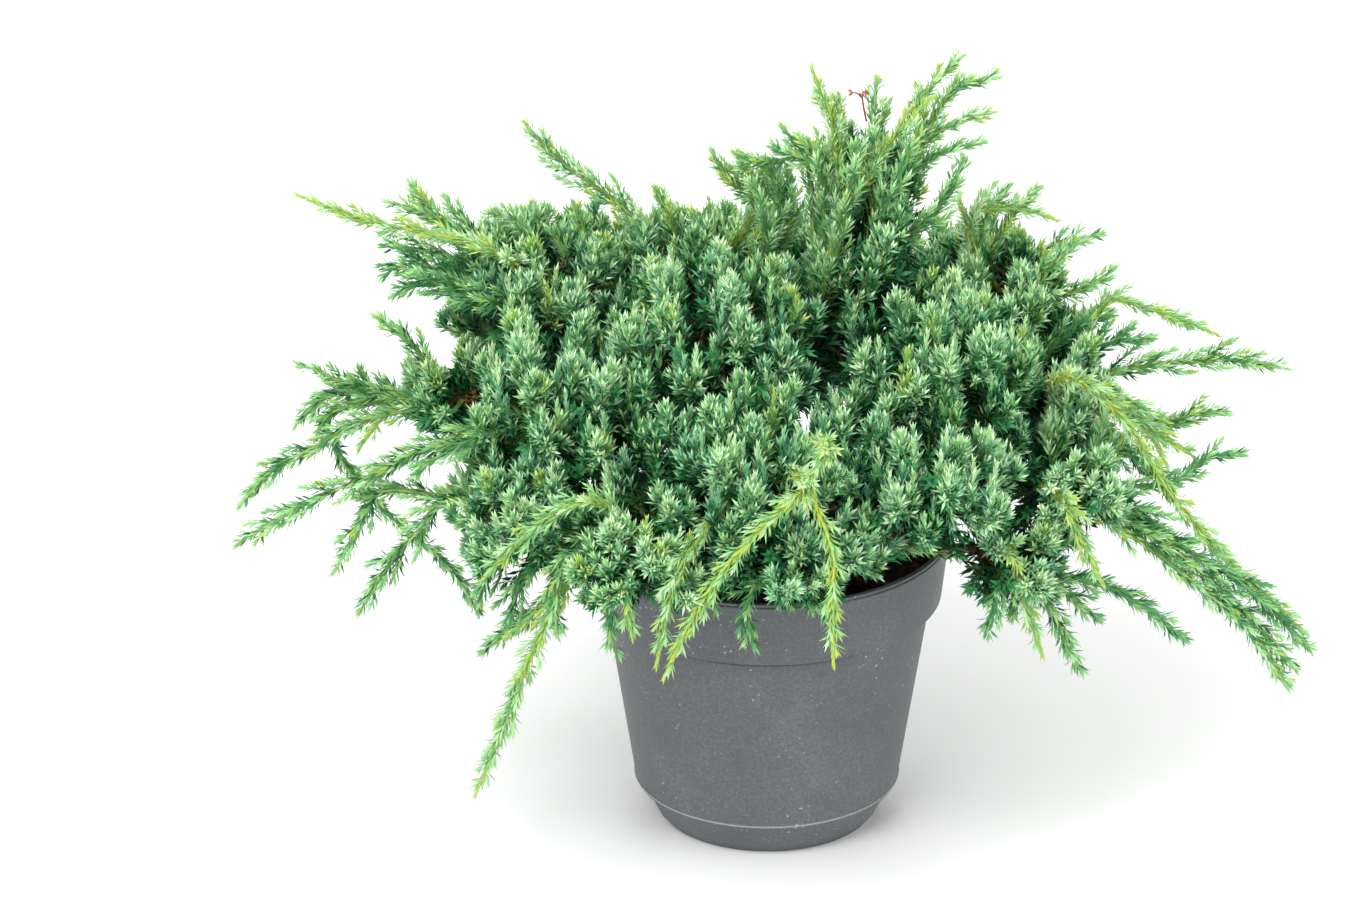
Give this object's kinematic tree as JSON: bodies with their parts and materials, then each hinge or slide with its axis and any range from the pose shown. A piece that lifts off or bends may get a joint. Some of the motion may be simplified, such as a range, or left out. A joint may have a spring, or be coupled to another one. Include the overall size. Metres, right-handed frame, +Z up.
{
  "type": "potted juniper",
  "caption": "Low spreading juniper with a dense blue-green crown of needle sprays and long arching shoots, growing in a round grey nursery pot filled with potting mix.",
  "frame": {"origin": "centre of the pot's flat underside", "axes": "+Z up along the pot's axis, +X to the viewer's right along the widest spread of the crown, -Y towards the viewer"},
  "size_m": [0.345, 0.2493, 0.26],
  "materials": {
    "grey_plastic": "matte grey moulded plastic",
    "potting_mix": "moist dark potting mix of bark and peat",
    "brown_bark": "thin flaking brown bark",
    "blue_needles": "waxy blue-green needles"
  },
  "bodies": {
    "root": {"bough_back_centre": "brown_bark", "bough_back_left": "brown_bark", "bough_back_low": "brown_bark", "bough_back_low_left": "brown_bark", "bough_back_low_right": "brown_bark", "bough_back_right": "brown_bark", "bough_centre_front": "brown_bark", "bough_front_centre": "brown_bark", "bough_front_left_low": "brown_bark", "bough_front_low": "brown_bark", "bough_left_low": "brown_bark", "bough_left_mid": "brown_bark", "bough_left_upper": "brown_bark", "bough_left_wing": "brown_bark", "bough_right_front_low": "brown_bark", "bough_right_low": "brown_bark", "bough_right_mid": "brown_bark", "bough_right_under": "brown_bark", "bough_right_upper": "brown_bark", "bough_right_wing": "brown_bark", "bough_top_left": "brown_bark", "mass_back_centre": "blue_needles", "mass_back_left": "blue_needles", "mass_back_low": "blue_needles", "mass_back_low_left": "blue_needles", "mass_back_low_right": "blue_needles", "mass_back_right": "blue_needles", "mass_centre_front": "blue_needles", "mass_front_centre": "blue_needles", "mass_front_left_low": "blue_needles", "mass_front_low": "blue_needles", "mass_left_low": "blue_needles", "mass_left_mid": "blue_needles", "mass_left_upper": "blue_needles", "mass_left_wing": "blue_needles", "mass_right_front_low": "blue_needles", "mass_right_low": "blue_needles", "mass_right_mid": "blue_needles", "mass_right_under": "blue_needles", "mass_right_upper": "blue_needles", "mass_right_wing": "blue_needles", "mass_top_leader": "blue_needles", "mass_top_left": "blue_needles", "pot": "grey_plastic", "soil": "potting_mix", "trunk": "brown_bark"}
  },
  "joints": []
}
